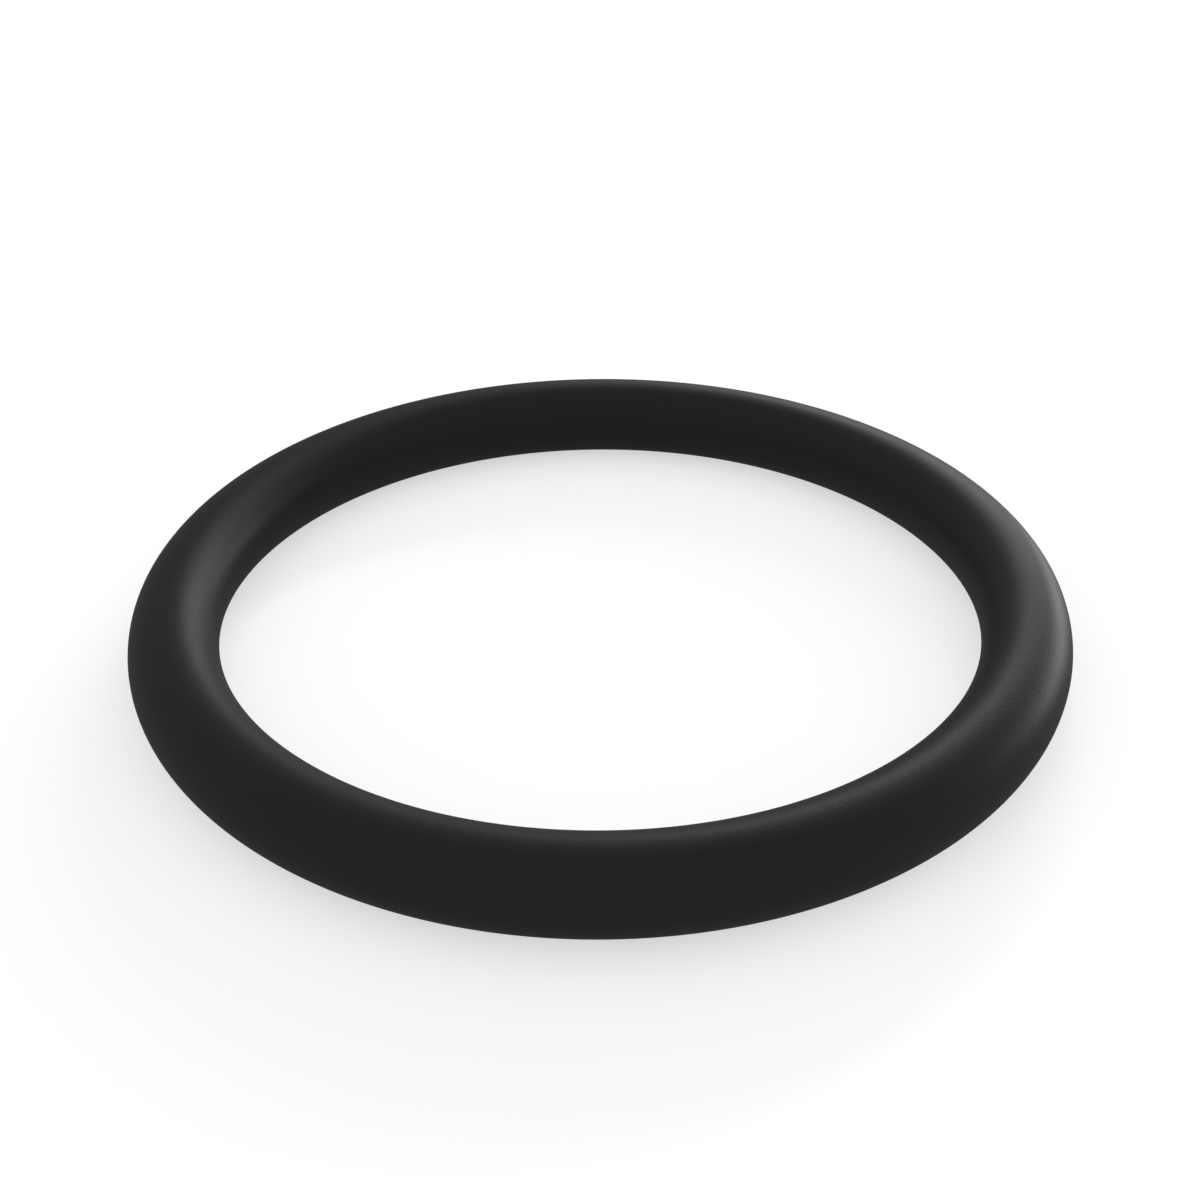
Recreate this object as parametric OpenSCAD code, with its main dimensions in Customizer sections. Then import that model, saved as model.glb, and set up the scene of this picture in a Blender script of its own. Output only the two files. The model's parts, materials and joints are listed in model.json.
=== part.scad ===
// Rubber o-ring: one endless loop of round section, moulded in a single piece.
// The ring lies flat with its axis on Z, and its centre is the origin, so the
// mid-plane of a groove and the axis of a shaft go straight through zero.
// Sizes are in millimetres and are those of the ring at rest, not stretched.

/* [Ring] */
// Inside diameter, where the ring grips a shaft or a groove floor
inside_d = 22; // [6:0.5:60]
// Diameter of the round section, and so the height of the ring
section_d = 2.5; // [1:0.1:6]

/* [Smoothness] */
// Facets drawn round the whole ring
ring_facets = 180; // [60:12:360]
// Facets drawn round the section
section_facets = 48; // [24:8:96]

/* [Hidden] */

// The centre of the section runs round this circle, half a section outside
// the inside diameter.
centre_line_d = inside_d + section_d;

// The full-round section, standing on the XZ half-plane beside the axis.
module section() {
    translate([centre_line_d / 2, 0])
        circle(d = section_d, $fn = section_facets);
}

// The whole seal. Seen in any plane through the axis it is two equal circles,
// with no flat, lip, flash or join.
module o_ring() {
    color([0.13, 0.13, 0.13])
        rotate_extrude($fn = ring_facets)
            section();
}

o_ring();
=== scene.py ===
import json
import math

import bpy
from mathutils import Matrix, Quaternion, Vector


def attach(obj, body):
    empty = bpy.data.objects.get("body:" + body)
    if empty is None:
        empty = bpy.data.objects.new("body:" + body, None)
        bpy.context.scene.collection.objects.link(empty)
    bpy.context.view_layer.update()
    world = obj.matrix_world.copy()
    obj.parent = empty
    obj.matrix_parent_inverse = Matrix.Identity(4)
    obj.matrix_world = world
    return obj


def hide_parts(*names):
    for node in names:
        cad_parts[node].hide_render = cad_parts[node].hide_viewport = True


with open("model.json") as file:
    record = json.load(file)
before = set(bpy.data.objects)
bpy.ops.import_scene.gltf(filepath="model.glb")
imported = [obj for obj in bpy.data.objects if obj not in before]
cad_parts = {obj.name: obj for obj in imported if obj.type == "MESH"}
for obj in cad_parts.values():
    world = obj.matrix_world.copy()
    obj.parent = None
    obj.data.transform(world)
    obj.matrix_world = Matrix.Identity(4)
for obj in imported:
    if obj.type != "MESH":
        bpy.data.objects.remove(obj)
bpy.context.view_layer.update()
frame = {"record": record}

MM = 0.001
WHITE = (1.0, 1.0, 1.0, 1.0)


# Sizes of the ring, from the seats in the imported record

seats = {mount["name"]: mount["dims"] for mount in frame["record"]["mounts"]}
inside_radius = seats["inside_seat"]["r_mm"] * MM
outside_radius = seats["outside_seat"]["r_mm"] * MM
section_d = outside_radius - inside_radius
bench_z = -section_d / 2


# Node trees, for shapes and for finishes alike

class Value:
    """A number on a node's socket, on which Python's operators add Math nodes."""

    def __init__(self, tree, socket):
        self.tree = tree
        self.socket = socket

    def __add__(self, other):
        return self.tree.maths("ADD", self, other)

    def __sub__(self, other):
        return self.tree.maths("SUBTRACT", self, other)

    def __rsub__(self, other):
        return self.tree.maths("SUBTRACT", other, self)

    def __mul__(self, other):
        return self.tree.maths("MULTIPLY", self, other)

    __radd__ = __add__
    __rmul__ = __mul__


class NodeTree:
    """A node tree that is filled by node(): a type, its settings, then its sockets."""

    def __init__(self, tree):
        self.tree = tree

    def node(self, kind, settings=None, sockets=None, output=0):
        made = self.tree.nodes.new(kind)
        for name, setting in (settings or {}).items():
            setattr(made, name, setting)
        for name, value in (sockets or {}).items():
            if isinstance(value, Value):
                self.tree.links.new(value.socket, made.inputs[name])
            else:
                made.inputs[name].default_value = value
        return Value(self, made.outputs[output]) if made.outputs else made

    def maths(self, operation, first, second):
        return self.node("ShaderNodeMath", {"operation": operation}, {0: first, 1: second})


def new_material(name):
    material = bpy.data.materials.new(name)
    material.use_nodes = True
    material.node_tree.nodes.clear()
    return material, NodeTree(material.node_tree)


# The finish of the rubber

RUBBER_BLACK = (0.0055, 0.0055, 0.0055, 1.0)
RUBBER_IOR = 1.6
SATIN_ROUGHNESS = 0.485
SATIN_SHARE = 0.21
MOTTLE_SIZE = 1.6 * MM
MOTTLE_DETAIL = 1.0
MOTTLE_ROUGHNESS = 0.02
GRAIN_SIZE = 0.11 * MM
GRAIN_DETAIL = 2.0
GRAIN_HEIGHT = 0.0043 * MM


def make_rubber():
    """Moulded black rubber: a dull surface with a share of satin gloss and a fine grain."""
    material, tree = new_material("black_rubber")
    place = tree.node("ShaderNodeTexCoord", output="Object")

    def noise(size, detail):
        return tree.node(
            "ShaderNodeTexNoise",
            {"noise_dimensions": "3D"},
            {"Vector": place, "Scale": 1 / size, "Detail": detail, "Roughness": 0.5},
        )

    grain = tree.node(
        "ShaderNodeBump",
        None,
        {
            "Strength": 1.0,
            "Distance": GRAIN_HEIGHT,
            "Height": noise(GRAIN_SIZE, GRAIN_DETAIL),
        },
    )
    mottle = (noise(MOTTLE_SIZE, MOTTLE_DETAIL) - 0.5) * (2 * MOTTLE_ROUGHNESS)
    dull = tree.node(
        "ShaderNodeBsdfDiffuse", None, {"Color": RUBBER_BLACK, "Normal": grain}
    )
    satin = tree.node(
        "ShaderNodeBsdfPrincipled",
        {"distribution": "GGX"},
        {
            "Base Color": RUBBER_BLACK,
            "Roughness": SATIN_ROUGHNESS + mottle,
            "IOR": RUBBER_IOR,
            "Normal": grain,
        },
    )
    surface = tree.node("ShaderNodeMixShader", None, {0: SATIN_SHARE, 1: dull, 2: satin})
    tree.node("ShaderNodeOutputMaterial", None, {"Surface": surface})
    return material


# The ring itself, a round section swept round a circle

STEPS_ROUND_RING = 480
STEPS_ROUND_SECTION = 96


def ring_shape_tree():
    group = bpy.data.node_groups.new("swept_round_section", "GeometryNodeTree")
    inputs = {}
    for name, kind in (
        ("Inside radius", "NodeSocketFloat"),
        ("Section diameter", "NodeSocketFloat"),
        ("Steps round the ring", "NodeSocketInt"),
        ("Steps round the section", "NodeSocketInt"),
        ("Finish", "NodeSocketMaterial"),
    ):
        inputs[name] = group.interface.new_socket(name, in_out="INPUT", socket_type=kind)
    group.interface.new_socket("Ring", in_out="OUTPUT", socket_type="NodeSocketGeometry")
    tree = NodeTree(group)
    given = group.nodes.new("NodeGroupInput")
    inside, section, round_ring, round_section, finish = (
        Value(tree, given.outputs[name]) for name in inputs
    )
    section_radius = section * 0.5
    centre_line = tree.node(
        "GeometryNodeCurvePrimitiveCircle",
        None,
        {"Resolution": round_ring, "Radius": inside + section_radius},
    )
    outline = tree.node(
        "GeometryNodeCurvePrimitiveCircle",
        None,
        {"Resolution": round_section, "Radius": section_radius},
    )
    swept = tree.node(
        "GeometryNodeCurveToMesh", None, {"Curve": centre_line, "Profile Curve": outline}
    )
    smooth = tree.node("GeometryNodeSetShadeSmooth", None, {"Geometry": swept})
    real = tree.node("GeometryNodeRealizeInstances", None, {"Geometry": smooth})
    coated = tree.node(
        "GeometryNodeSetMaterial", None, {"Geometry": real, "Material": finish}
    )
    tree.node("NodeGroupOutput", None, {"Ring": coated})
    return group, {name: socket.identifier for name, socket in inputs.items()}


def make_ring(rubber):
    group, identifier = ring_shape_tree()
    maker = bpy.data.objects.new("ring_maker", bpy.data.meshes.new("ring_maker"))
    bpy.context.scene.collection.objects.link(maker)
    sweep = maker.modifiers.new("sweep", "NODES")
    sweep.node_group = group
    for name, value in (
        ("Inside radius", inside_radius),
        ("Section diameter", section_d),
        ("Steps round the ring", STEPS_ROUND_RING),
        ("Steps round the section", STEPS_ROUND_SECTION),
        ("Finish", rubber),
    ):
        sweep[identifier[name]] = value
    seen = bpy.context.evaluated_depsgraph_get()
    mesh = bpy.data.meshes.new_from_object(maker.evaluated_get(seen), depsgraph=seen)
    mesh.name = "o_ring_rubber"
    maker.modifiers.clear()
    bpy.data.objects.remove(maker)
    ring = bpy.data.objects.new("o_ring_rubber", mesh)
    bpy.context.scene.collection.objects.link(ring)
    return ring


# The bench top, the plain world, the lamps and the camera

BENCH_RADIUS = 900 * MM
BENCH_CORNERS = 96
BENCH_PALE = (0.90, 0.90, 0.90, 1.0)
SHOWN_WHITE = 0.6
WORLD_STRENGTH = 1.0


def make_bench():
    """A pale floor. Where it is seen, part of it is plain white, so the shadow is light."""
    material, tree = new_material("pale_bench")
    pale = tree.node("ShaderNodeBsdfDiffuse", None, {"Color": BENCH_PALE})
    white = tree.node("ShaderNodeEmission", None, {"Color": WHITE, "Strength": 1.0})
    seen = tree.node("ShaderNodeLightPath", output="Is Camera Ray")
    mirrored = tree.node("ShaderNodeLightPath", output="Is Glossy Ray")
    through = tree.node("ShaderNodeLightPath", output="Is Transmission Ray")
    share = (seen + mirrored + through) * SHOWN_WHITE
    surface = tree.node("ShaderNodeMixShader", None, {0: share, 1: pale, 2: white})
    tree.node("ShaderNodeOutputMaterial", None, {"Surface": surface})
    # The white is only there to be seen, so the floor isn't sampled as a lamp.
    material.cycles.emission_sampling = "NONE"
    bpy.ops.mesh.primitive_circle_add(
        vertices=BENCH_CORNERS,
        radius=BENCH_RADIUS,
        fill_type="NGON",
        location=(0, 0, bench_z),
    )
    bench = bpy.context.object
    bench.name = "bench"
    bench.data.materials.append(material)


def make_world():
    world = bpy.data.worlds.new("studio")
    world.use_nodes = True
    background = world.node_tree.nodes["Background"]
    background.inputs["Color"].default_value = WHITE
    background.inputs["Strength"].default_value = WORLD_STRENGTH
    bpy.context.scene.world = world


def towards(azimuth, elevation):
    """The direction to something seen from the ring. Azimuth 0 is +X and 90 is +Y."""
    a = math.radians(azimuth)
    e = math.radians(elevation)
    return Vector((math.cos(a) * math.cos(e), math.sin(a) * math.cos(e), math.sin(e)))


LAMP_DISTANCE = 500 * MM


def make_strip_lamp(name, azimuth, elevation, wide, high, tilt, radiance):
    """A rectangular lamp that faces the ring. wide and high are half the angles it fills."""
    lamp = bpy.data.lights.new(name, "AREA")
    lamp.shape = "RECTANGLE"
    lamp.size = 2 * LAMP_DISTANCE * math.tan(math.radians(wide))
    lamp.size_y = 2 * LAMP_DISTANCE * math.tan(math.radians(high))
    lamp.energy = radiance * math.pi * lamp.size * lamp.size_y
    holder = bpy.data.objects.new(name, lamp)
    bpy.context.scene.collection.objects.link(holder)
    direction = towards(azimuth, elevation)
    holder.location = direction * LAMP_DISTANCE
    facing = (-direction).to_track_quat("-Z", "Y")
    turned = facing @ Quaternion((0, 0, 1), math.radians(tilt))
    holder.rotation_euler = turned.to_euler()


CAMERA_LENS = 50
CAMERA_SENSOR = 36
CAMERA_DISTANCE = 48.97 * MM
CAMERA_ELEVATION = 32.62
CAMERA_ROLL = -0.36
CAMERA_NEAREST = 1 * MM
CAMERA_FURTHEST = 4000 * MM


def make_camera():
    lens = bpy.data.cameras.new("camera")
    lens.lens = CAMERA_LENS
    lens.sensor_width = CAMERA_SENSOR
    lens.clip_start = CAMERA_NEAREST
    lens.clip_end = CAMERA_FURTHEST
    camera = bpy.data.objects.new("camera", lens)
    bpy.context.scene.collection.objects.link(camera)
    direction = towards(-90, CAMERA_ELEVATION)
    camera.location = direction * CAMERA_DISTANCE
    level = (-direction).to_track_quat("-Z", "Y")
    rolled = level @ Quaternion((0, 0, 1), math.radians(CAMERA_ROLL))
    camera.rotation_euler = rolled.to_euler()
    bpy.context.scene.camera = camera


ring = make_ring(make_rubber())
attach(ring, "root")
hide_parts("o_ring")

make_bench()
make_world()
make_strip_lamp("high_strip", azimuth=71, elevation=19.8, wide=14.6, high=2.2, tilt=26.5, radiance=46.7)
make_strip_lamp("low_strip", azimuth=41.4, elevation=2.1, wide=15.8, high=2.1, tilt=0, radiance=61)
make_camera()
bpy.context.scene.view_settings.view_transform = "Standard"
